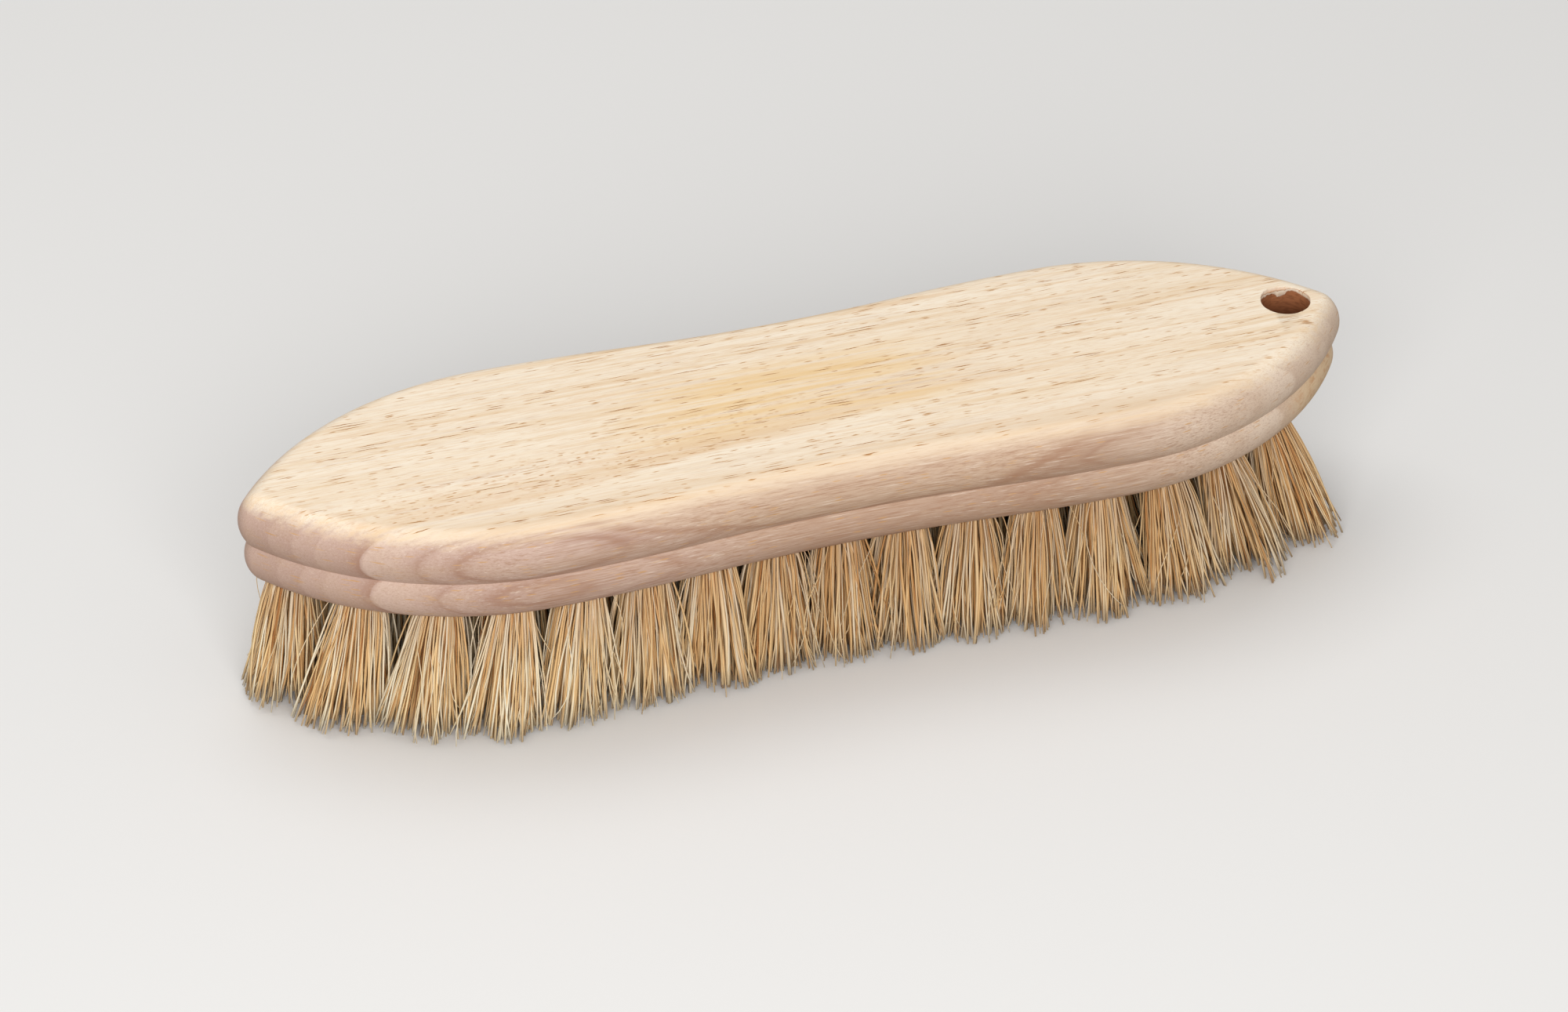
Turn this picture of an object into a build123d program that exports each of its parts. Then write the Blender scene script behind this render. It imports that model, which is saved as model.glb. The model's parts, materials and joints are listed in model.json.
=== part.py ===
from build123d import *
import math
import os

# Wooden hand scrubbing brush: one moulded hardwood block and staple-set tufts of plant fibre.
#
# Millimetres. +X runs along the block towards its hanging hole, +Z is up. The origin is on the
# trimmed bristle tips, under the middle of the block.

os.makedirs("parts", exist_ok=True)

# ---------------------------------------------------------------- driving dimensions
# block outline, seen from above: pointed at both ends, drawn in at the waist
block_length = 230.0
block_width = 63.5  # across the two bellies
waist_pinch = 2.5  # how far each side draws in at the waist
belly_x = 59.0  # distance of each belly from the middle
tip_radius = 5.2

# moulded edge: a fat upper bead over a smaller lower one, with a soft valley between
upper_bead_height = 11.0  # top face to valley
lower_bead_height = 9.0  # valley to underside
upper_crest_share = 0.58  # crest of each bead, as a share of its height from its top
lower_crest_share = 0.36
valley_inset = 1.65  # in from the outline
lower_bead_inset = 0.85  # crest of the lower bead, in from the outline
lower_edge_radius = 1.5
tip_land = 0.2  # flat left on the top face inside the rounded tip
sawing_allowance = 4.0  # wood left on the rough blank for the moulding cutter to take off

# hanging hole
hang_hole_radius = 5.0
hang_hole_margin = 11.8  # hole centre to the end of the block

# tufts
bristle_length = 27.5  # showing below the block
tuft_hole_radius = 4.0
tuft_hole_depth = 12.0
stations = 15  # rows of tufts across the block
last_station_margin = 21.2  # outermost station to the end of the block
ring_inset = 8.7  # outer tufts, in from the outline
inner_row_share = 1 / 3  # inner row, as a share of the outer row's distance from the middle
end_tuft_margin = 10.0  # the single tuft in the plain tip
inner_end_step = 0.5  # last inner tuft, in stations in from the outermost station
plain_end_splay = 4.8  # how far the tips of the outermost station lean out along X
hole_end_splay = 7.9
splay_start_x = 45.0  # tufts nearer the middle than this stand straight along X
side_splay = 2.3  # how far the tips of the outer rows lean out along Y
tuft_sides = 8  # a tuft and its hole are modelled with flat sides

# staples that anchor the tufts
wire = 0.9
leg_above_hole = 4.0  # leg driven into the wood past the hole's bottom
fold_height = 2.6  # fibre folded over the crown

# fits
tuft_clearance = 0.1  # bundle in its hole, and fold under the hole's bottom
staple_clearance = 0.05  # wire in the bundle
staple_side_gap = 0.2  # staple's legs to the hole's wall
tip_gap = 0.4  # between the tips of neighbouring tufts

# ---------------------------------------------------------------- values worked out from those
block_thickness = upper_bead_height + lower_bead_height
half_width = block_width / 2
waist_half_width = half_width - waist_pinch
underside_z = bristle_length
top_z = underside_z + block_thickness
hole_end_z = underside_z + tuft_hole_depth

# the side is an S curve of two equal arcs from waist to belly, then one arc to the tip
waist_radius = ((belly_x / 2) ** 2 + (waist_pinch / 2) ** 2) / waist_pinch
waist_angle = math.degrees(math.asin(belly_x / 2 / waist_radius))
tip_x = block_length / 2 - tip_radius
shoulder_run = tip_x - belly_x
shoulder_radius = (shoulder_run**2 + half_width**2 - tip_radius**2) / (2 * (half_width - tip_radius))
shoulder_angle = math.degrees(math.asin(shoulder_run / (shoulder_radius - tip_radius)))

hang_hole_x = block_length / 2 - hang_hole_margin
last_station_x = block_length / 2 - last_station_margin
station_pitch = 2 * last_station_x / (stations - 1)

root_radius = tuft_hole_radius - tuft_clearance
brush_radius = (station_pitch - tip_gap) / 2


# ---------------------------------------------------------------- outline and moulded edge
def side_outline():
    """The block's outline as one closed chain of tangent arcs, at the level of the top face."""
    side = [
        (waist_radius, 2 * waist_angle),
        (waist_radius, -waist_angle),
        (shoulder_radius, -shoulder_angle),
        (tip_radius, 2 * (shoulder_angle - 90)),
        (shoulder_radius, -shoulder_angle),
        (waist_radius, -waist_angle),
    ]
    with BuildLine(Plane.XY.offset(top_z)) as chain:
        end = (-belly_x / 2, half_width - waist_pinch / 2)
        heading = Vector(1, 0).rotate(Axis.Z, -waist_angle)
        for radius, turn in side + side:
            arc = JernArc(end, heading, radius, turn)
            end, heading = arc @ 1, arc % 1
    return chain.wires()[0]


def arc_radius(run, rise):
    """The radius of an arc that starts along its run and has left it by the rise at the run's end."""
    return (run**2 + rise**2) / (2 * rise)


def edge_cutter():
    """What the moulding cutter takes off: everything outside the two beads, at the waist."""
    reach = tip_radius - tip_land
    upper_crest_z = -upper_crest_share * upper_bead_height
    valley_z = -upper_bead_height
    lower_crest_z = valley_z - lower_crest_share * lower_bead_height

    # one arc from the valley up past the crest, and a tighter one that bends into the top face
    crest_radius = arc_radius(upper_crest_z - valley_z, valley_inset)
    bend_radius = (reach**2 + upper_crest_z**2 - 2 * reach * crest_radius) / (
        -2 * (upper_crest_z + crest_radius)
    )
    bend_angle = math.degrees(math.atan2(crest_radius - reach, -upper_crest_z - bend_radius))

    lower_radius = arc_radius(valley_z - lower_crest_z, valley_inset - lower_bead_inset)
    foot_fall = block_thickness + lower_crest_z
    foot_inset = lower_bead_inset + lower_radius - math.sqrt(lower_radius**2 - foot_fall**2)

    with BuildSketch() as beads:
        with BuildLine():
            bend = JernArc((-reach, 0), (1, 0), bend_radius, -bend_angle)
            RadiusArc(bend @ 1, (-valley_inset, valley_z), crest_radius)
            ThreePointArc(
                (-valley_inset, valley_z),
                (-lower_bead_inset, lower_crest_z),
                (-foot_inset, -block_thickness),
            )
            Polyline(
                (-foot_inset, -block_thickness),
                (-2 * reach, -block_thickness),
                (-2 * reach, 0),
                (-reach, 0),
            )
        make_face()
        foot = beads.vertices().group_by(Axis.Y)[0].sort_by(Axis.X)[-1]
        fillet(foot, lower_edge_radius)
    waste = 3 * sawing_allowance
    at_waist = Plane(origin=(0, waist_half_width, top_z), x_dir=(0, 1, 0), z_dir=(1, 0, 0))
    with BuildSketch(at_waist) as cutter:
        with Locations((-reach, -block_thickness - waste)):
            Rectangle(reach + waste, block_thickness + 2 * waste, align=(Align.MIN, Align.MIN))
        add(beads.sketch, mode=Mode.SUBTRACT)
    return cutter.sketch


# ---------------------------------------------------------------- tuft positions
def ring_y(x):
    """Distance of the outer row from the middle line: the outline, moved in along its normal."""
    x = abs(x)
    if x > belly_x:
        radius = shoulder_radius - ring_inset
        return half_width - shoulder_radius + math.sqrt(radius**2 - (x - belly_x) ** 2)
    if x > belly_x / 2:
        radius = waist_radius - ring_inset
        return half_width - waist_radius + math.sqrt(radius**2 - (belly_x - x) ** 2)
    radius = waist_radius + ring_inset
    return waist_half_width + waist_radius - math.sqrt(radius**2 - x**2)


def outer_tuft_places():
    """One tuft each side at every station, and one in the tip that has no hanging hole."""
    places = [(end_tuft_margin - block_length / 2, 0)]
    for i in range(stations):
        x = -last_station_x + i * station_pitch
        places += [(x, ring_y(x)), (x, -ring_y(x))]
    return places


def inner_tuft_places():
    """Two inner rows, half a station out of step with the outer ones, that close to one at each end."""
    end_x = last_station_x - inner_end_step * station_pitch
    places = [(-end_x, 0)]
    for i in range(1, stations - 2):
        x = -end_x + i * station_pitch
        y = inner_row_share * ring_y(x)
        places += [(x, y), (x, -y)]
    places.append((end_x, 0))
    return places


def many_sided(radius):
    """The section of a tuft or its hole, as wide across its flats as the round one."""
    return RegularPolygon(radius, tuft_sides, major_radius=False, rotation=180 / tuft_sides)


def tip_place(place):
    """Where a tuft's tips end up. Tufts near the ends and sides lean out, but not past the block's end."""
    x, y = place
    end_splay = hole_end_splay if x > 0 else plain_end_splay
    share = (abs(x) - splay_start_x) / (last_station_x - splay_start_x)
    lean = end_splay * math.sin(math.pi / 2 * max(0, min(share, 1)))
    furthest_x = block_length / 2 - brush_radius
    return (math.copysign(min(abs(x) + lean, furthest_x), x), y + side_splay * y / half_width)


outer_places = outer_tuft_places()
inner_places = inner_tuft_places()
all_places = outer_places + inner_places

# ---------------------------------------------------------------- block
outline = side_outline()

with BuildPart() as block:
    with BuildSketch(Plane.XY.offset(underside_z)):
        make_face(outline.edges())
        offset(amount=sawing_allowance)
    extrude(amount=block_thickness)
    sweep(edge_cutter(), path=outline, mode=Mode.SUBTRACT)
    with BuildSketch(Plane.XY.offset(top_z)):
        with Locations((hang_hole_x, 0)):
            Circle(hang_hole_radius)
    extrude(amount=-block_thickness, mode=Mode.SUBTRACT)
    with BuildSketch(Plane.XY.offset(underside_z)):
        with Locations(*all_places):
            many_sided(tuft_hole_radius)
    extrude(amount=tuft_hole_depth, mode=Mode.SUBTRACT)

block.part.label = "block"
export_step(block.part, "parts/block.step")


# ---------------------------------------------------------------- staples
crown_z = hole_end_z - tuft_clearance - fold_height  # top of the crown


def staple_shape(grow=0.0):
    """A wire U across the block, crown down, with chisel points. It can be grown to make room for one."""
    outer = tuft_hole_radius - staple_side_gap + grow
    inner = tuft_hole_radius - staple_side_gap - wire - grow
    foot_z = crown_z - wire - grow
    point_z = hole_end_z + leg_above_hole
    thickness = wire + 2 * grow
    with BuildPart() as shape:
        with BuildSketch(Plane.YZ.offset(-thickness / 2)):
            with BuildLine():
                Polyline(
                    (-outer, foot_z),
                    (outer, foot_z),
                    (outer, point_z),
                    (inner, point_z - wire),
                    (inner, crown_z + grow),
                    (-inner, crown_z + grow),
                    (-inner, point_z - wire),
                    (-outer, point_z),
                    close=True,
                )
            make_face()
        extrude(amount=thickness)
    return shape.part


staple = staple_shape()
with BuildPart() as staples:
    with Locations(*all_places):
        add(staple)

staples.part.label = "staples"
export_step(staples.part, "parts/staples.step")


# ---------------------------------------------------------------- tufts
staple_room = staple_shape(staple_clearance)


def flat_loft(lower, upper):
    """The solid between two polygons whose sides are parallel, so that its own sides are flat."""
    sides = [
        Face(Wire.make_polygon([low @ 0, low @ 1, high @ 1, high @ 0]))
        for low, high in zip(lower.edges(), upper.edges())
    ]
    return Solid(Shell([lower.face(), upper.face(), *sides]))


def make_tuft(name, place):
    """A bundle of fibre folded over its staple: a root that fills the hole, and a brush that flares."""
    with BuildSketch(Plane.XY.offset(underside_z)) as mouth:
        with Locations(place):
            many_sided(root_radius)
    with BuildSketch() as trimmed:
        with Locations(tip_place(place)):
            many_sided(brush_radius)
    with BuildPart() as tuft:
        add(flat_loft(trimmed.sketch, mouth.sketch))
        extrude(mouth.sketch, amount=tuft_hole_depth - tuft_clearance)
        with Locations(place):
            add(staple_room, mode=Mode.SUBTRACT)
    tuft.part.label = name
    export_step(tuft.part, f"parts/{name}.step")


for number, place in enumerate(outer_places, start=1):
    make_tuft(f"outer_tuft_{number:02d}", place)

for number, place in enumerate(inner_places, start=1):
    make_tuft(f"inner_tuft_{number:02d}", place)
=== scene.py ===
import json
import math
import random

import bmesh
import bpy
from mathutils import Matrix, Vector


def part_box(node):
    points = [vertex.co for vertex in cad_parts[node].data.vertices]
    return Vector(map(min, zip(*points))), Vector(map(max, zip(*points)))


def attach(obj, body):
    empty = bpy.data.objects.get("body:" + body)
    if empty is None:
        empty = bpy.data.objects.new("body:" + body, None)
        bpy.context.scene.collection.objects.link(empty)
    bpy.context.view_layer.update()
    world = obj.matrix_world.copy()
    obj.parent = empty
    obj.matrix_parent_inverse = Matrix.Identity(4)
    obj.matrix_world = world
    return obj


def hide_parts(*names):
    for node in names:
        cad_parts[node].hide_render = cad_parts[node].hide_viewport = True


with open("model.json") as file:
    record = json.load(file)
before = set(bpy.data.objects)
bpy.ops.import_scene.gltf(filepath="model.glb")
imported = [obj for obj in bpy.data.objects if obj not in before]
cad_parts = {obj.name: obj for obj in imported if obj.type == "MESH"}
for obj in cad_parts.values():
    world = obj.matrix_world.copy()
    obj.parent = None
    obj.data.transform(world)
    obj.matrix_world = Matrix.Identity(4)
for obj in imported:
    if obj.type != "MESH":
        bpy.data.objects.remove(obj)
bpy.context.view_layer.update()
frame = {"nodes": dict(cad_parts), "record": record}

# %% [markdown]
# # A wooden scrubbing brush
#
# The brush is one block of pale hardwood, moulded with two rounded beads all the way round, with
# 57 tufts of stiff plant fibre set in its underside. This lesson builds it over a measured frame:
# the camera and light first, then the block and its holes, then the wood, and the fibre last.
#
# The frame is in metres with the trimmed fibre tips at z = 0. Sizes are easier to read in
# millimetres, so they are written as a number times `mm`.

mm = 0.001
block_low, block_high = (Vector(corner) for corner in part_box("block"))
half_length = block_high.x
half_width = block_high.y
top_z = block_high.z
underside_z = block_low.z
print(f"block {2 * half_length / mm:.1f} mm long and {2 * half_width / mm:.1f} mm wide")
print(f"block {(top_z - underside_z) / mm:.1f} mm thick, on {underside_z / mm:.1f} mm of fibre")

# %% [markdown]
# ## Camera
#
# A long lens looks down on the near side of the brush from a metre away. A short lens close by
# would make the near end look swollen.

# %% Place the camera
scene = bpy.context.scene
camera_data = bpy.data.cameras.new("camera")
camera_data.lens = 124.95
camera_data.sensor_width = 36
camera_data.clip_start = 0.01
camera = bpy.data.objects.new("camera", camera_data)
scene.collection.objects.link(camera)
camera.location = (-0.29741, -0.85107, 0.62997)
look_at = Vector((-0.01691, -0.03715, 0.0475))
camera.rotation_euler = (look_at - camera.location).to_track_quat("-Z", "Y").to_euler()
scene.camera = camera
scene.view_settings.view_transform = "Standard"
print(f"camera {(look_at - camera.location).length:.2f} m away")

# %% [markdown]
# ## Node sums
#
# A procedural material is mostly arithmetic on sockets. Adding and linking each Math node by hand
# hides the formula, so a small class wraps a socket and gives it the usual operators. Every other
# node comes from one method: its settings are set first, because some of them change its sockets.


# %% Wrap sockets so that they can be used in sums
class Amount:
    """A value that changes over a surface: a socket that can be used in sums."""

    def __init__(self, finish, socket):
        self.finish = finish
        self.socket = socket

    def sum(self, operation, *values):
        return self.finish.node("ShaderNodeMath", values, operation=operation)

    def __add__(self, other):
        return self.sum("ADD", self, other)

    def __radd__(self, other):
        return self.sum("ADD", other, self)

    def __sub__(self, other):
        return self.sum("SUBTRACT", self, other)

    def __rsub__(self, other):
        return self.sum("SUBTRACT", other, self)

    def __mul__(self, other):
        return self.sum("MULTIPLY", self, other)

    def __rmul__(self, other):
        return self.sum("MULTIPLY", other, self)

    def __truediv__(self, other):
        return self.sum("DIVIDE", self, other)

    def __abs__(self):
        return self.sum("ABSOLUTE", self)

    def or_more(self, other):
        return self.sum("MAXIMUM", self, other)

    def tanh(self):
        return self.sum("TANH", self)


class Finish:
    """A material, built up node by node."""

    def __init__(self, name):
        self.material = bpy.data.materials.new(name)
        self.material.use_nodes = True
        self.tree = self.material.node_tree
        self.shader = self.tree.nodes["Principled BSDF"]

    def node(self, kind, sockets=(), output=0, **settings):
        """Adds a node, with its settings first and then the values or links of its sockets."""
        node = self.tree.nodes.new(kind)
        for name, value in settings.items():
            setattr(node, name, value)
        pairs = sockets.items() if isinstance(sockets, dict) else enumerate(sockets)
        for key, value in pairs:
            self.feed(node.inputs[key], value)
        return Amount(self, node.outputs[output])

    def feed(self, socket, value):
        """Gives a socket a value, or a link where the value is an Amount."""
        if isinstance(value, Amount):
            self.tree.links.new(value.socket, socket)
        else:
            socket.default_value = value

    def surface(self, **values):
        """Sets the shader's own sockets, named with underscores for spaces."""
        for name, value in values.items():
            self.feed(self.shader.inputs[name.replace("_", " ")], value)

    def step(self, value, start, end):
        """0 before the start and 1 after the end, with a smooth rise between them."""
        sockets = {0: value, 1: start, 2: end}
        return self.node("ShaderNodeMapRange", sockets, interpolation_type="SMOOTHSTEP")

    def ramp(self, value, stops):
        """Follows a row of stops, each a place from 0 to 1 and a colour or a grey."""
        shade = self.node("ShaderNodeValToRGB", [value])
        elements = shade.socket.node.color_ramp.elements
        while len(elements) < len(stops):
            elements.new(1)
        for element, (place, tint) in zip(elements, stops):
            element.position = place
            element.color = tint if isinstance(tint, tuple) else (tint, tint, tint, 1)
        return shade

    def mix(self, factor, first, second):
        """The first colour turning into the second as the factor goes from 0 to 1."""
        sockets = {0: factor, 6: first, 7: second}
        return self.node("ShaderNodeMix", sockets, 2, data_type="RGBA", clamp_factor=True)

    def layers(self, base, *layers):
        """Lays colours over a base one by one, each as strongly as the mask before it says."""
        for mask, tint in layers:
            base = self.mix(mask, base, tint)
        return base

    def combine(self, x, y, z):
        """A vector put together from three numbers."""
        return self.node("ShaderNodeCombineXYZ", (x, y, z))

    def noise(self, place, scale, detail=2.0, roughness=0.5):
        """Smooth random values from 0 to 1, centred on a half. Each axis has its own scale."""
        vector = self.combine(*(along * times for along, times in zip(place, scale)))
        sockets = {"Vector": vector, "Scale": 1.0, "Detail": detail, "Roughness": roughness}
        return self.node("ShaderNodeTexNoise", sockets)

    def cells(self, vector, output):
        """Random cells one unit across: the distance to each one's middle, or its own colour."""
        return self.node("ShaderNodeTexVoronoi", {"Vector": vector, "Scale": 1.0}, output)

    def attribute(self, name):
        """A number that the mesh keeps at each of its points."""
        return self.node("ShaderNodeAttribute", output="Fac", attribute_name=name)

    def place_in_mm(self):
        """The place on the object, as three numbers in millimetres."""
        place = self.node("ShaderNodeTexCoord", output="Object")
        in_mm = self.node("ShaderNodeVectorMath", {0: place, 3: 1 / mm}, operation="SCALE")
        return [self.node("ShaderNodeSeparateXYZ", [in_mm], axis) for axis in "XYZ"]


def colour(red, green, blue):
    """A colour given as a screen shows it, 0 to 255, as the linear values that a node holds."""
    shown = [part / 255 for part in (red, green, blue)]
    linear = [
        part / 12.92 if part <= 0.04045 else ((part + 0.055) / 1.055) ** 2.4 for part in shown
    ]
    return (*linear, 1)


print("node sums ready")

# %% [markdown]
# ## Floor and light
#
# The brush stands on a plain pale floor. One large softbox hangs above it and a little behind, and
# lights the top. A stronger one stands low in front, for the near side and the fibres, and an even
# sky softens both. The floor looks pale to the camera but is darker in what it bounces back, by its
# Light Path, so the shade between the tufts stays deep.

# %% Lay the floor
floor_finish = Finish("pale floor")
seen, mirrored, through = (
    floor_finish.node("ShaderNodeLightPath", output=f"Is {ray} Ray")
    for ray in ("Camera", "Glossy", "Transmission")
)
shown_colour, bounce_colour = colour(236, 235, 233), colour(112, 98, 82)
floor_finish.surface(
    Base_Color=floor_finish.mix(seen + mirrored + through, bounce_colour, shown_colour),
    Roughness=0.9,
    Specular_IOR_Level=0.2,
)

floor_mesh = bpy.data.meshes.new("floor")
bm = bmesh.new()
bmesh.ops.create_grid(bm, x_segments=1, y_segments=1, size=4.0)
bm.to_mesh(floor_mesh)
bm.free()
floor = bpy.data.objects.new("floor", floor_mesh)
scene.collection.objects.link(floor)
floor_mesh.materials.append(floor_finish.material)
print("floor laid")

# %% Set up the light
world = bpy.data.worlds.new("even sky")
world.use_nodes = True
scene.world = world
sky = world.node_tree.nodes["Background"]
sky.inputs["Color"].default_value = (1.0, 0.99, 0.98, 1)
sky.inputs["Strength"].default_value = 0.45
middle_of_brush = Vector((0, 0, 0.03))


def softbox(name, place, size, power):
    """A large soft lamp that faces the brush. Its power is in watts."""
    lamp_data = bpy.data.lights.new(name, "AREA")
    lamp_data.shape = "RECTANGLE"
    lamp_data.size, lamp_data.size_y = size
    lamp_data.energy = power
    lamp = bpy.data.objects.new(name, lamp_data)
    scene.collection.objects.link(lamp)
    lamp.location = place
    lamp.rotation_euler = (middle_of_brush - lamp.location).to_track_quat("-Z", "Y").to_euler()


softbox("key", (-0.15, 0.35, 1.0), (0.9, 0.6), 3.0)
softbox("fill", (-0.35, -1.05, 0.6), (1.0, 0.6), 11.4)
print("two softboxes and an even sky")

# %% [markdown]
# ## Moulding
#
# A moulding cutter run round the block leaves the same profile everywhere: the top rolls over into
# a fat bead, a valley parts it from a smaller bead, and a small round meets the underside. Spinning
# one vertex through the profile's arcs draws that profile. Spinning the profile through the arcs of
# the block's outline sweeps it, so the surface runs on smoothly where those arcs do. Only a quarter
# of the outline is swept, and two mirrors make the rest.

# %% Work out the profile's arcs
waist_pinch = 2.5 * mm  # how far each side draws in from the bellies to the waist
waist_half_width = half_width - waist_pinch
profile_reach = 5.0 * mm  # from the outline in to where the top starts to roll over
upper_crest_depth = 6.38 * mm
valley_depth = 11.0 * mm
lower_crest_depth = 14.24 * mm
valley_inset = 1.65 * mm
lower_bead_inset = 0.85 * mm
foot_radius = 1.5 * mm


def arc_radius(run, rise):
    """The radius of an arc that sets off along its run and has risen so far at the run's end."""
    return (run**2 + rise**2) / (2 * rise)


crest_radius = arc_radius(valley_depth - upper_crest_depth, valley_inset)
bend_radius = (profile_reach**2 + upper_crest_depth**2 - 2 * profile_reach * crest_radius) / (
    2 * (upper_crest_depth - crest_radius)
)
lower_radius = arc_radius(lower_crest_depth - valley_depth, valley_inset - lower_bead_inset)
radii = [f"{radius / mm:.2f}" for radius in (bend_radius, crest_radius, lower_radius)]
print("profile radii in mm:", ", ".join(radii))

# %% Draw the profile at the waist
UP, ALONG = (0, 0, 1), (1, 0, 0)


def spin_on(bm, ends, centre, axis, turn, steps):
    """Carries the ends of a shape round an arc and returns the new ends. The turn is in radians."""
    made = bmesh.ops.spin(bm, geom=ends, cent=centre, axis=axis, angle=turn, steps=steps)
    return made["geom_last"]


def draw_profile(bm):
    """The moulding's profile across the waist, from the top to the underside."""
    bend_y = waist_half_width - profile_reach
    crest_y = waist_half_width - crest_radius
    lower_y = waist_half_width - lower_bead_inset - lower_radius
    foot_z = underside_z + foot_radius
    foot_fall = top_z - lower_crest_depth - foot_z
    foot_y = lower_y + math.sqrt((lower_radius - foot_radius) ** 2 - foot_fall**2)

    bend_end = math.atan2(upper_crest_depth - bend_radius, crest_radius - profile_reach)
    crest_end = math.atan2(valley_depth - upper_crest_depth, crest_radius - valley_inset)
    lower_start = math.asin((lower_crest_depth - valley_depth) / lower_radius)
    lower_end = math.atan2(foot_fall, foot_y - lower_y)

    arcs = [  # the centre's y and z, the turn, and the steps it is drawn in
        (bend_y, top_z - bend_radius, math.pi / 2 - bend_end, 10),
        (crest_y, top_z - upper_crest_depth, bend_end + crest_end, 20),
        (lower_y, top_z - lower_crest_depth, lower_start + lower_end, 18),
        (foot_y, foot_z, math.pi / 2 - lower_end, 6),
    ]
    end = [bm.verts.new((0, bend_y, top_z))]
    for y, z, turn, steps in arcs:
        end = spin_on(bm, end, (0, y, z), ALONG, -turn, steps)


block_bm = bmesh.new()
draw_profile(block_bm)
print(f"profile of {len(block_bm.verts)} points")

# %% Sweep the profile round a quarter of the outline
belly_x = 59.0 * mm
tip_radius = 5.2 * mm
waist_radius = ((belly_x / 2) ** 2 + (waist_pinch / 2) ** 2) / waist_pinch
waist_turn = math.asin(belly_x / 2 / waist_radius)
tip_x = half_length - tip_radius
shoulder_run = tip_x - belly_x
shoulder_radius = (shoulder_run**2 + half_width**2 - tip_radius**2) / (
    2 * (half_width - tip_radius)
)
shoulder_turn = math.asin(shoulder_run / (shoulder_radius - tip_radius))
weld = 0.001 * mm  # points nearer than this are the same point


def everything(bm):
    return bm.verts[:] + bm.edges[:] + bm.faces[:]


def sweep_quarter(bm):
    """From the waist to one tip, on the side that faces +Y."""
    arcs = [  # the centre's x and y, the turn, and the steps it is drawn in
        (0, waist_half_width + waist_radius, waist_turn, 8),
        (belly_x, half_width - waist_radius, -waist_turn, 8),
        (belly_x, half_width - shoulder_radius, -shoulder_turn, 34),
        (tip_x, 0, shoulder_turn - math.pi / 2, 9),
    ]
    ends = everything(bm)
    for x, y, turn, steps in arcs:
        ends = spin_on(bm, ends, (x, y, 0), UP, turn, steps)


sweep_quarter(block_bm)
for axis in "XY":
    bmesh.ops.mirror(block_bm, geom=everything(block_bm), axis=axis, merge_dist=weld)
bmesh.ops.remove_doubles(block_bm, verts=block_bm.verts, dist=weld)
print(f"moulding of {len(block_bm.faces)} faces")

# %% [markdown]
# ## Hanging hole
#
# The drill tore the grain as it left the top. On the far side a lip of wood has lifted and split
# away, so a groove runs behind it and its foot hangs down the wall in a ragged line. A few rings of
# edges make that, each moved by an amount that depends on the angle round the hole. Every point
# also keeps how burnished it is, an attribute from which the finish takes the brown of the bore.
# The groove behind the lip gets that brown too, as painted shade.

# %% Find the hanging hole
hang_hole = next(mount for mount in frame["record"]["mounts"] if mount["name"] == "hang_hole")
hole_x = hang_hole["pos_m"][0]
hole_radius = hang_hole["dims"]["r_mm"] * mm
hole_sides = 96
rim_chance = random.Random(31)
rim_jitter = [rim_chance.uniform(-1, 1) for _ in range(hole_sides)]
bore_and_shade_layer = block_bm.verts.layers.float.new("burnish_and_shade")
print(f"hanging hole {2 * hole_radius / mm:.0f} mm wide at x = {hole_x / mm:.1f} mm")


# %% Shape the torn rim
def swell(angle, middle, reach):
    """1 at the middle angle, falling smoothly to 0 at the reach either side. Angles in degrees."""
    away = abs((angle - middle + 180) % 360 - 180) / reach
    return 0.0 if away > 1 else 0.5 + 0.5 * math.cos(math.pi * away)


def split(angle):
    """How far the wood has split away: 1 on the far side, none on the near side."""
    return min(1, 1.4 * swell(angle, 95, 60))


def foot_depth(angle, jitter):
    """How deep the lip's foot hangs, in millimetres."""
    hanging = 0.5 * swell(angle, 118, 36) + 1.6 * swell(angle, 80, 27) + 0.4 * swell(angle, 18, 34)
    return 0.3 + hanging + 0.16 * jitter * (0.3 + split(angle))


# A ring's shape is how far each point stands back from the wall, and its depth, in millimetres.
def broken_edge(angle, jitter):
    chip = 0.35 * split(angle) + 0.2 * swell(angle, 20, 40) + 0.14 * swell(angle, 250, 70)
    return 0.08 + chip + 0.1 * jitter * (0.4 + swell(angle, 80, 100)), 0


def groove_floor(angle, jitter):
    return 0.05 + 0.15 * split(angle), 0.1 + 1.2 * split(angle) + 0.3 * swell(angle, 15, 30)


def lip_crest(angle, jitter):
    sunk = 0.5 * split(angle) * (1 - swell(angle, 52, 14)) + 0.15 * swell(angle, 20, 36)
    return -0.3 * swell(angle, 85, 48), 0.14 + sunk + 0.12 * jitter * split(angle)


def lip_foot(angle, jitter):
    return -0.2 * swell(angle, 85, 48), foot_depth(angle, jitter) + 0.15


def wall_top(angle, jitter):
    return 0, foot_depth(angle, jitter) + 0.4


deepest = max(foot_depth(angle, 0) for angle in range(360))
print(f"the lip hangs down {deepest:.1f} mm where it is longest")


# %% Cut the hanging hole
def edge_ring(bm, centre, radius, sides):
    """Adds a level circle and returns its edges."""
    at_centre = Matrix.Translation(centre)
    made = bmesh.ops.create_circle(bm, segments=sides, radius=radius, matrix=at_centre)
    return list(dict.fromkeys(edge for vertex in made["verts"] for edge in vertex.link_edges))


def extrude_ring(bm, edges):
    """Extrudes a ring of edges and returns the new ring."""
    made = bmesh.ops.extrude_edge_only(bm, edges=edges)["geom"]
    return [part for part in made if isinstance(part, bmesh.types.BMEdge)]


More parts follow.
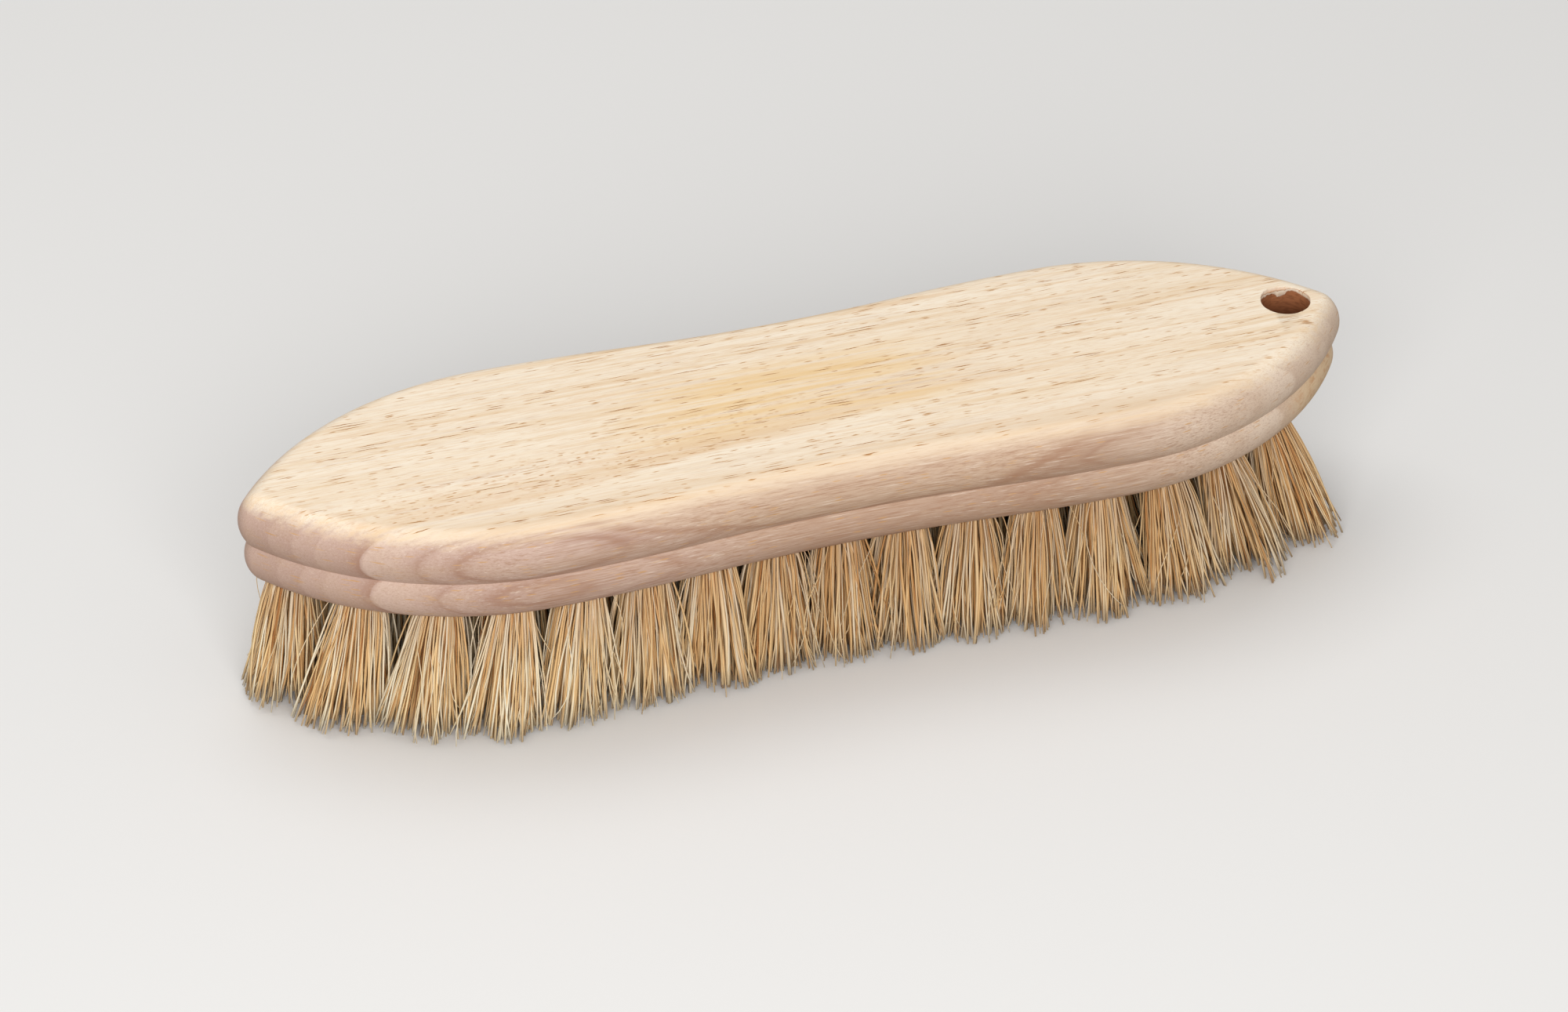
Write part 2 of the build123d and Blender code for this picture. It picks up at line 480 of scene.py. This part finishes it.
def place_ring(edges, shape, burnish_and_shade):
    """Moves a ring's points where its shape puts them, and sets their burnish and painted shade."""
    for vertex in {vertex for edge in edges for vertex in edge.verts}:
        angle = math.degrees(math.atan2(vertex.co.y, vertex.co.x - hole_x)) % 360
        jitter = rim_jitter[round(angle / 360 * hole_sides) % hole_sides]
        back, depth = shape(angle, jitter)
        x = hole_x + (hole_radius + back * mm) * math.cos(math.radians(angle))
        y = (hole_radius + back * mm) * math.sin(math.radians(angle))
        vertex.co = (x, y, top_z - depth * mm)
        vertex[bore_and_shade_layer] = burnish_and_shade


def cut_hanging_hole(bm):
    """Leaves the torn rim and the hole's wall, open at the top and at the underside."""
    ring = edge_ring(bm, (hole_x, 0, top_z), hole_radius, hole_sides)
    place_ring(ring, broken_edge, 0)
    # The groove floor's brown is painted shade; the wall's is the drill's burnish.
    for shape, burnish_and_shade in ((groove_floor, 0.8), (lip_crest, 0), (lip_foot, 0.15), (wall_top, 1)):
        ring = extrude_ring(bm, ring)
        place_ring(ring, shape, burnish_and_shade)
    for depth in (4.0, 8.0, 14.0, (top_z - underside_z) / mm):
        ring = extrude_ring(bm, ring)
        place_ring(ring, lambda angle, jitter: (0, depth), 1)


cut_hanging_hole(block_bm)
print(f"{len(block_bm.faces)} faces with the hanging hole")

# %% [markdown]
# ## Tuft holes
#
# Each tuft sits in a blind hole in the underside. The frame's tufts say where: the middle of a
# tuft's highest points is its hole, and the middle of its lowest points is where its tips end up.

# %% Find the tufts
touch = 0.01 * mm


def middle(points):
    """The middle of the box round some points."""
    low = Vector([min(point[axis] for point in points) for axis in range(3)])
    high = Vector([max(point[axis] for point in points) for axis in range(3)])
    return (low + high) / 2


def tuft_line(node):
    """Where a tuft leaves the underside, and the middle of its tips."""
    points = [vertex.co for vertex in frame["nodes"][node].data.vertices]
    root = middle([point for point in points if point.z > underside_z - touch])
    tips = middle([point for point in points if point.z < touch])
    return Vector((root.x, root.y, underside_z)), tips


tufts = {node: tuft_line(node) for node in sorted(frame["nodes"]) if "tuft" in node}
print(f"{len(tufts)} tufts")

# %% Drill the tuft holes
tuft_hole_radius = 4.0 * mm
tuft_hole_depth = 12.0 * mm
tuft_hole_sides = 24


def drill_tuft_holes(bm):
    """Each hole's wall and bottom, open at the underside."""
    for root, _ in tufts.values():
        mouth = edge_ring(bm, root, tuft_hole_radius, tuft_hole_sides)
        bottom = extrude_ring(bm, mouth)
        ends = list({vertex for edge in bottom for vertex in edge.verts})
        bmesh.ops.translate(bm, verts=ends, vec=(0, 0, tuft_hole_depth))
        bmesh.ops.edgeloop_fill(bm, edges=bottom)


drill_tuft_holes(block_bm)
print(f"{len(tufts)} holes, {tuft_hole_depth / mm:.0f} mm deep")


# %% Close the top and the underside
def open_edges_at(bm, height):
    return [
        edge
        for edge in bm.edges
        if edge.is_boundary and all(abs(vertex.co.z - height) < touch for vertex in edge.verts)
    ]


def resize(bm, factor):
    bmesh.ops.scale(bm, verts=bm.verts, vec=(factor, factor, factor))


levels = [(open_edges_at(block_bm, top_z), 1), (open_edges_at(block_bm, underside_z), -1)]
resize(block_bm, 1 / mm)  # the fill runs points together that are under a tenth of a unit apart
for rims, facing in levels:
    bmesh.ops.triangle_fill(block_bm, use_beauty=True, edges=rims, normal=(0, 0, facing))
    for edge in rims:
        edge.smooth = False
resize(block_bm, mm)
bmesh.ops.recalc_face_normals(block_bm, faces=block_bm.faces)
for face in block_bm.faces:
    face.smooth = True
still_open = sum(edge.is_boundary for edge in block_bm.edges)
print(f"block of {len(block_bm.faces)} faces, {still_open} open edges")

# %% [markdown]
# ## Wood
#
# The block is a pale tropical hardwood, sanded but left bare. Its cream top has thin brown pores
# along the grain, which show as long dashes where the grain lies level, and as dots where it dips
# through the surface. The sides are painted darker and pinker than the top, as painted shade, and
# the rounded beads cut the upright growth rings into nested ovals. The pattern depends only on the
# place in the block, as it would in solid wood, so it carries on round every edge. The grain runs
# along x, so the streaks are drawn out that way.

# %% Start the wood: growth rings
wood = Finish("bare hardwood")
place = wood.place_in_mm()
x, y, z = place
top = top_z / mm  # heights in millimetres, as x, y and z are
valley = (top_z - valley_depth) / mm
slow_warp = wood.noise(place, (0.012, 0.03, 0.03), detail=1.0) - 0.5
fine_warp = wood.noise(place, (0.06, 0.15, 0.15), detail=3.0) - 0.5

# Near the sides the rings run along the brush, and bow in to its middle line towards both ends.
first_ring, last_ring = 36, 10  # how far off the middle line the stops start and end
bow = 0.0007
side_ring = -1 * abs(y) - bow * x * x + 1.6 * slow_warp + 0.9 * fine_warp
ring_stops = [  # a place on the way in, and how dark the wood is there
    (0.00, 0.30),
    (0.08, 0.35),
    (0.112, 0.90),
    (0.145, 0.50),
    (0.16, 0.42),
    (0.185, 0.85),
    (0.21, 0.50),
    (0.25, 0.15),
    (0.34, 0.00),
    (0.356, 0.90),
    (0.46, 0.55),
    (0.53, 0.35),
    (0.54, 0.60),
    (0.64, 0.40),
    (0.66, 0.70),
    (0.78, 0.45),
    (0.79, 0.70),
    (0.95, 0.40),
]
ring_shade = wood.ramp((side_ring + first_ring) / (first_ring - last_ring), ring_stops)
ring_shade = ring_shade * (1 - 0.45 * wood.step(x, 40, 85))

# On the top one ring swings across the grain: pale on its near side, darker on its far side.
swing = -14.5 + 6.5 * ((x + 25) / 40).tanh()
past_swing = y - swing + 1.2 * fine_warp
swing_shade = wood.step(past_swing, -0.4, 0.6) * wood.step(past_swing, 11, 1)
swing_shade = swing_shade * wood.step(x, 80, 10)
swing_light = wood.step(past_swing, 0.2, -1.2) * wood.step(past_swing, -9, -3)
swing_light = swing_light * wood.step(x, 70, -20)
print(f"{len(ring_stops)} stops across the growth rings")

# %% Wood: the streaks of the grain
broad_streaks = wood.noise(place, (0.008, 0.20, 0.20), detail=3.0, roughness=0.6)
middle_streaks = wood.noise(place, (0.022, 0.9, 0.9), detail=3.0, roughness=0.6)
fine_streaks = wood.noise(place, (0.08, 3.0, 3.0), detail=3.0, roughness=0.65)
hair_streaks = wood.noise(place, (0.3, 7.0, 7.0))
mottle = wood.noise(place, (0.35, 0.7, 0.7))
clusters = wood.noise(place, (0.02, 0.26, 0.1))
in_clusters = wood.step(clusters, 0.46, 0.60)

# Past the swinging ring, towards the plain end, the grain dips and shows as specks.
drift = wood.noise(place, (0.02, 0.02, 0.02)) - 0.5
speckled = wood.step(past_swing, -1.5, 2.0) * wood.step(past_swing, 17, 9)
speckled = speckled * wood.step(x + 20 * drift, 25, -25)
print("streaks and specks")

# %% Wood: the cream of the top
# A warm yellow patch lies in the middle, broken up by the streaks. The near edge is a bit darker.
warped_x, warped_y = x + 40 * slow_warp, y + 5 * slow_warp
across_patch = wood.step(warped_y, -14, -8) * wood.step(warped_y, 15, 5)
along_patch = wood.step(warped_x, -48, -22) * wood.step(warped_x, 38, 8)
patch = across_patch * along_patch * wood.step(middle_streaks, 0.3, 0.6)

cream = wood.layers(
    colour(255, 241, 219),
    (wood.step(broad_streaks, 0.35, 0.65), colour(250, 232, 206)),
    (wood.step(middle_streaks, 0.5, 0.72) * 0.6, colour(236, 202, 164)),
    (wood.step(fine_streaks, 0.5, 0.75) * 0.45, colour(232, 198, 152)),
    (wood.step(fine_streaks, 0.45, 0.25) * 0.4, colour(255, 246, 228)),
    (wood.step(hair_streaks, 0.5, 0.7) * 0.5, colour(228, 190, 146)),
    (swing_shade * 0.4, colour(232, 198, 158)),
    (swing_light * 0.3, colour(255, 242, 220)),
    (speckled * wood.step(mottle, 0.5, 0.7) * 0.5, colour(236, 204, 172)),
    (in_clusters * wood.step(middle_streaks, 0.4, 0.6) * 0.5, colour(236, 206, 166)),
    (patch * 0.7, colour(243, 206, 146)),
    (wood.step(y, -16, -28) * 0.5, colour(230, 203, 172)),
)
print("cream top")

# %% Wood: the sides, painted darker and pinker than the top as shade
# The sides' colours are darker and pinker than the top's cream: painted shade. Their light and dark
# follow the growth rings.
along_brush = wood.step(x, -70, 90)
light_side = wood.mix(along_brush, colour(220, 192, 176), colour(238, 217, 196))
dark_side = wood.mix(along_brush, colour(187, 153, 138), colour(204, 174, 149))
# The waist is painted darker still, as painted shade.
shaded_waist = wood.step(x, -50, -5) * wood.step(x, 85, 30)

# At the waist the upper bead cuts into the next ring in, which is paler, with brown edges.
over_valley = z - (valley + 0.5) + 3 * fine_warp
inner_ring = wood.step(x + 4 * over_valley, -24, -8) * wood.step(x - 2.5 * over_valley, 34, 18)
inner_ring = inner_ring * wood.step(over_valley, -0.5, 1.0)
ring_edge = wood.step(inner_ring, 0.05, 0.4) * wood.step(inner_ring, 0.9, 0.5)

# The streaks fade towards the ends. The lower bead has an orange stain near the hanging hole.
lengthwise = 1 - 0.55 * wood.step(abs(x), 60, 95)
stain = wood.step(x, 92, 104) * wood.step(z, valley + 2, valley - 0.5) * wood.step(y, 0, -4)

side_grain_and_painted_shade = wood.layers(
    wood.mix(ring_shade, light_side, dark_side),
    (shaded_waist * 0.75, colour(180, 144, 119)),
    (wood.step(ring_shade, 0.7, 1.0) * 0.75, colour(168, 124, 100)),
    (wood.step(broad_streaks, 0.45, 0.7) * 0.35, colour(206, 176, 150)),
    (inner_ring * 0.6, colour(222, 194, 167)),
    (ring_edge * 0.55, colour(172, 128, 100)),
    (wood.step(fine_streaks, 0.5, 0.7) * 0.7 * lengthwise, colour(176, 134, 106)),
    (wood.step(fine_streaks, 0.45, 0.28) * 0.6 * lengthwise, colour(242, 224, 206)),
    (wood.step(hair_streaks, 0.5, 0.68) * 0.5 * lengthwise, colour(172, 130, 104)),
    (stain * 0.6, colour(240, 208, 160)),
    (stain * wood.step(mottle, 0.46, 0.74) * 0.6, colour(206, 146, 92)),
)
# Where the top rolls over, the colour turns to the sides' painted shade.
ragged_z = z + 4.0 * (middle_streaks - 0.5) + 1.5 * fine_warp
below_top = wood.step(ragged_z, top + 0.2, top - 3.4)
bare = wood.mix(below_top, cream, side_grain_and_painted_shade)
print("pinker sides")

# %% Wood: the pores
ragged_y = y + 0.5 * (wood.noise(place, (0.5, 1.0, 1.0)) - 0.5)


def pores(vector, size, faint):
    """A mask of pores, one to a cell. Size is how far a pore reaches from its cell's middle.

    The higher faint is, the more of the pores are faint.
    """
    distance = wood.cells(vector, "Distance")
    chance = wood.node("ShaderNodeSeparateColor", [wood.cells(vector, "Color")], "Red")
    return wood.step(distance, size, size * 0.3) * wood.step(chance, faint, 1.0)


def top_pores(length, width, size, seed, faint):
    """Pores as the level top cuts them."""
    vector = wood.combine(x / length + seed, ragged_y / width + seed, z * 0.02)
    return pores(vector, size, faint)


def side_pores(length, width, size, seed, faint):
    """Pores as the upright sides cut them."""
    vector = wood.combine(x / length + seed, y * 0.1, z / width + seed)
    return pores(vector, size, faint)


# Each kind has its cells' length and width in millimetres, its size, a seed and how faint it is.
long_pores = top_pores(18.0, 0.5, 0.3, 3.7, -0.3) * in_clusters
middle_pores = top_pores(9.0, 0.5, 0.32, 11.3, 0.0) * wood.step(clusters, 0.34, 0.54)
short_pores = top_pores(4.0, 0.65, 0.34, 17.9, 0.2)
dots = top_pores(2.2, 0.8, 0.34, 23.1, -0.2) * speckled
on_top = long_pores.or_more(middle_pores * 0.9).or_more(short_pores * 0.6).or_more(dots * 0.6)
on_top = on_top * wood.step(z, top - 1.0, top - 0.1)
on_sides = side_pores(4.5, 0.5, 0.34, 5.5, 0.0) * 0.5
pore_mask = on_top.or_more(below_top * on_sides)
print("pores")

# %% Wood: put the colour and relief together
pore_colour = wood.mix(wood.step(pore_mask, 0.3, 0.9), colour(214, 168, 116), colour(162, 106, 56))

# Inside the hanging hole the drill has burnished the wood brown. It is painted darker further down,
# and the groove behind the torn lip takes the same brown, as painted shade.
scorch = wood.noise(place, (0.6, 0.6, 2.5), detail=3.0)
bore = wood.layers(
    colour(112, 62, 34),
    (wood.step(z, top - 12, top - 2), colour(168, 108, 70)),
    (wood.step(scorch, 0.45, 0.7) * 0.5, colour(106, 60, 34)),
)
wood_colour = wood.layers(
    bare,
    (wood.step(pore_mask, 0.0, 0.6), pore_colour),
    (wood.attribute("burnish_and_shade"), bore),
)
relief = 0.6 * hair_streaks - 0.5 * pore_mask
bump = {"Strength": 0.3, "Distance": 0.1 * mm, "Height": relief}
wood.surface(
    Base_Color=wood_colour,
    Roughness=0.58 + 0.12 * hair_streaks,
    Specular_IOR_Level=0.35,
    Normal=wood.node("ShaderNodeBump", bump),
)
print("bare hardwood ready")


# %% Make the block a piece
def make_piece(bm, name, finish, node):
    """Puts a mesh in the scene as a piece that rides on the brush and stands in for a node."""
    mesh = bpy.data.meshes.new(name)
    bm.to_mesh(mesh)
    bm.free()
    mesh.materials.append(finish.material)
    piece = bpy.data.objects.new(name, mesh)
    scene.collection.objects.link(piece)
    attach(piece, "root")
    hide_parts(node)
    return piece


crease_angle = math.radians(35)
block = make_piece(block_bm, "moulded_block", wood, "block")
block.data.set_sharp_from_angle(angle=crease_angle)
print(f"{block.name}: {len(block.data.polygons)} faces")

# %% [markdown]
# ## Fibre
#
# A tuft is a bundle of stiff plant fibres, folded over a staple at the bottom of its hole: 300 of
# them in each outer tuft here, and 180 in each inner one. No two are alike, but a few dozen master
# fibres, each a small section spun through shallow arcs, look like thousands once they are turned,
# leaned and stretched. Most have two gentle bends, a few are wide ribbons, and the hairs that stray
# from a tuft have four bends. Each fibre keeps one number as an attribute, and the finish reads its
# colour from it. The number is random, but lower in the middle of a tuft, as painted shade.

# %% Draw a fibre
fibre_sides = 4
bend_steps = 3
root_in_hole = 5.0 * mm  # how far a fibre is modelled up into its hole
fibre_length = underside_z + root_in_hole
fibre_chance = random.Random(7)


def master_fibre(width, thickness, turns):
    """A fibre that hangs straight down from the origin on the whole, but bends by each turn."""
    bm = bmesh.new()
    made = bmesh.ops.create_circle(bm, cap_ends=True, segments=fibre_sides, radius=0.5)
    bmesh.ops.scale(bm, verts=made["verts"], vec=(width * mm, thickness * mm, 1))
    ends = everything(bm)
    end = Vector((0, 0, 0))
    heading = 0.0
    for turn in turns:
        radius = fibre_length / len(turns) / turn
        centre = end + radius * Vector((math.cos(heading), 0, math.sin(heading)))
        ends = spin_on(bm, ends, centre, (0, -1, 0), turn, bend_steps)
        heading += turn
        end = centre - radius * Vector((math.cos(heading), 0, math.sin(heading)))
    upright = Matrix.Rotation(math.atan2(end.x, -end.z), 3, "Y")
    bmesh.ops.rotate(bm, verts=bm.verts, cent=(0, 0, 0), matrix=upright)
    bmesh.ops.scale(bm, verts=bm.verts, vec=(1, 1, fibre_length / end.length))
    bmesh.ops.recalc_face_normals(bm, faces=bm.faces)
    mesh = bpy.data.meshes.new("master fibre")
    bm.to_mesh(mesh)
    bm.free()
    return mesh


def bends(count, most):
    """Random turns to either side, none of them so small that its arc is straight."""
    return [
        fibre_chance.choice((-1, 1)) * fibre_chance.uniform(0.1, 1) * most for _ in range(count)
    ]


print(f"fibres {fibre_length / mm:.1f} mm long")

# %% Make the master fibres
# Widths and thicknesses are in millimetres, and the bends in radians.
masters = []
for _ in range(30):
    width = fibre_chance.uniform(0.28, 0.56)
    thickness = width * fibre_chance.uniform(0.5, 0.9)
    masters.append(master_fibre(width, thickness, bends(2, 0.27)))
ribbons = [master_fibre(width, 0.3, bends(2, 0.2)) for width in (0.7, 0.9, 1.1)]
hairs = [master_fibre(0.20, 0.16, bends(4, 0.6)) for _ in range(8)]
print(f"{len(masters)} master fibres, {len(ribbons)} ribbons and {len(hairs)} hairs")

# %% Finish the fibre
straw = Finish("plant fibre")
straw_place = straw.place_in_mm()
along, _, height = straw_place
shades = [
    (0.00, colour(120, 72, 34)),
    (0.25, colour(196, 138, 80)),
    (0.50, colour(240, 198, 138)),
    (0.75, colour(253, 224, 172)),
    (1.00, colour(255, 244, 216)),
]
blotches = straw.noise(straw_place, (0.5, 0.5, 0.12))

# Fibre is painted paler at its trimmed tips, as painted light, and redder and darker towards its
# hole, as painted shade where less light gets in between the fibres. Past the middle of the brush
# it is painted a duller brown, as painted shade.
fibre_colour = straw.layers(
    straw.ramp(straw.attribute("tone"), shades),
    (straw.step(blotches, 0.52, 0.8) * 0.4, colour(206, 150, 84)),
    (straw.step(height, 7, 0) * 0.35, colour(255, 242, 212)),
    (straw.step(height, 12, 28) * 0.3, colour(186, 120, 68)),
    (straw.step(along, -70, 10) * 0.28, colour(182, 130, 74)),
)
straw.surface(Base_Color=fibre_colour, Roughness=0.42, Specular_IOR_Level=0.5)
print(f"fibre in {len(shades)} shades")

# %% Lay a fibre
mouth_radius = 3.7 * mm  # how far from its hole's middle a fibre may leave the block
root_lean = 0.3  # how much of a fibre's slope carries on inside its hole
tip_room = 0.6 * mm  # how far outside the block's box a fibre may end
bend_room = 1.4 * mm  # and how far outside it the fibre may bend on the way
DOWN = Vector((0, 0, -1))


def clamp(value, low, high):
    return min(max(value, low), high)


def within_block(point, room):
    """The point, pulled in if it stands further outside the block's box than the room given."""
    room_x, room_y = half_length + room, half_width + room
    return Vector((clamp(point.x, -room_x, room_x), clamp(point.y, -room_y, room_y), point.z))


def add_fibre(bm, tone_layer, master, start, end, roll, tone):
    """Adds a copy of a master fibre that runs from its start to its end."""
    first = len(bm.verts)
    bm.from_mesh(master)
    bm.verts.ensure_lookup_table()
    new = bm.verts[first:]
    run = end - start
    turn = DOWN.rotation_difference(run.normalized()).to_matrix().to_4x4()
    rolled = Matrix.Rotation(roll, 4, "Z")
    stretched = Matrix.Diagonal((1, 1, run.length / fibre_length, 1))
    in_place = Matrix.Translation(start) @ turn @ rolled @ stretched
    bmesh.ops.transform(bm, matrix=in_place, verts=new)
    for vertex in new:
        vertex[tone_layer] = tone


print(f"fibres stray up to {bend_room / mm:.1f} mm past the block")

# %% Grow the tufts
lock_count = 13
ribbon_share = 0.06
fibres_to_a_hair = 24
lowest_tip = 0.35 * mm


def level_step(chance, spread):
    """A random level step. The spread is in millimetres."""
    return Vector((chance.gauss(0, spread), chance.gauss(0, spread), 0)) * mm


def in_circle(chance):
    """A random place in a circle of radius 1."""
    angle, out = chance.uniform(0, 2 * math.pi), math.sqrt(chance.random())
    return Vector((out * math.cos(angle), out * math.sin(angle), 0))


def grow_tuft(node, count, seed):
    """A tuft of fibres that spread from their hole to their tips, in locks that keep together."""
    root, tips = tufts[node]
    chance = random.Random(seed)
    bm = bmesh.new()
    tone_layer = bm.verts.layers.float.new("tone")
    spread = Vector((chance.uniform(7.6, 8.8) * mm, chance.uniform(6.6, 7.4) * mm, 0))
    tuft_tone = chance.uniform(-0.05, 0.05)
    locks = [  # each lock's place in the bundle, its lean and how much shorter it is trimmed
        (in_circle(chance), level_step(chance, 1.0), chance.gauss(0, 0.7) * mm)
        for _ in range(lock_count)
    ]

    def lay(master, place, end, tone):
        """Lays one fibre from its tip, past its place in the hole's mouth, up into the hole."""
        mouth = root + place * mouth_radius
        slope = (mouth - end) / (mouth.z - end.z)
        straight_up = Vector((0, 0, root_in_hole * (1 - root_lean)))
        start = mouth + slope * root_in_hole * root_lean + straight_up
        roll = chance.uniform(0, 2 * math.pi)
        add_fibre(bm, tone_layer, master, start, end, roll, clamp(tone + tuft_tone, 0, 1))

    # The fibres in the middle of a tuft get a darker tone than those round its outside: painted
    # shade.
    for _ in range(count):
        place = in_circle(chance)
        _, lean, shorter = min(locks, key=lambda lock: (lock[0] - place).length)
        end = tips + place * spread + lean + level_step(chance, 1.1)
        end = within_block(end, tip_room)
        end.z = lowest_tip + abs(chance.gauss(0, 1.0) * mm + shorter)
        master = chance.choice(ribbons if chance.random() < ribbon_share else masters)
        tone_with_painted_shade = 0.4 + 0.46 * place.length**2
        lay(master, place, end, chance.gauss(tone_with_painted_shade, 0.22))

    for _ in range(count // fibres_to_a_hair):
        place = in_circle(chance)
        end = within_block(tips + place * spread + level_step(chance, 3.0), tip_room)
        end.z = (0.4 + chance.random() * 6.0) * mm
        lay(chance.choice(hairs), place, end, chance.gauss(0.85, 0.1))

    for vertex in bm.verts:
        vertex.co = within_block(vertex.co, bend_room)
    for face in bm.faces:
        face.smooth = True
    return make_piece(bm, node.replace("_tuft_", "_fibres_"), straw, node)


fibres_in = {"outer": 300, "inner": 180}
first_seed = 100
face_count = 0
for seed, node in enumerate(tufts, start=first_seed):
    row = node.split("_")[0]
    tuft = grow_tuft(node, fibres_in[row], seed)
    face_count += len(tuft.data.polygons)
print(f"{len(tufts)} tufts, {face_count} faces")

# %% [markdown]
# ## Staples
#
# Each tuft is held by a flat steel wire staple at the bottom of its hole. They can't be seen on the
# finished brush, so the frame's own staples stay and only get a wire finish.

# %% Finish the staples
steel = Finish("staple wire")
drawn_lines = steel.noise(steel.place_in_mm(), (6, 0.6, 6))
steel.surface(
    Base_Color=steel.mix(drawn_lines, colour(196, 196, 198), colour(168, 168, 172)),
    Roughness=0.28 + 0.2 * drawn_lines,
    Metallic=1.0,
)
staples = frame["nodes"]["staples"]
staples.data.materials.clear()
staples.data.materials.append(steel.material)
print("staples finished")
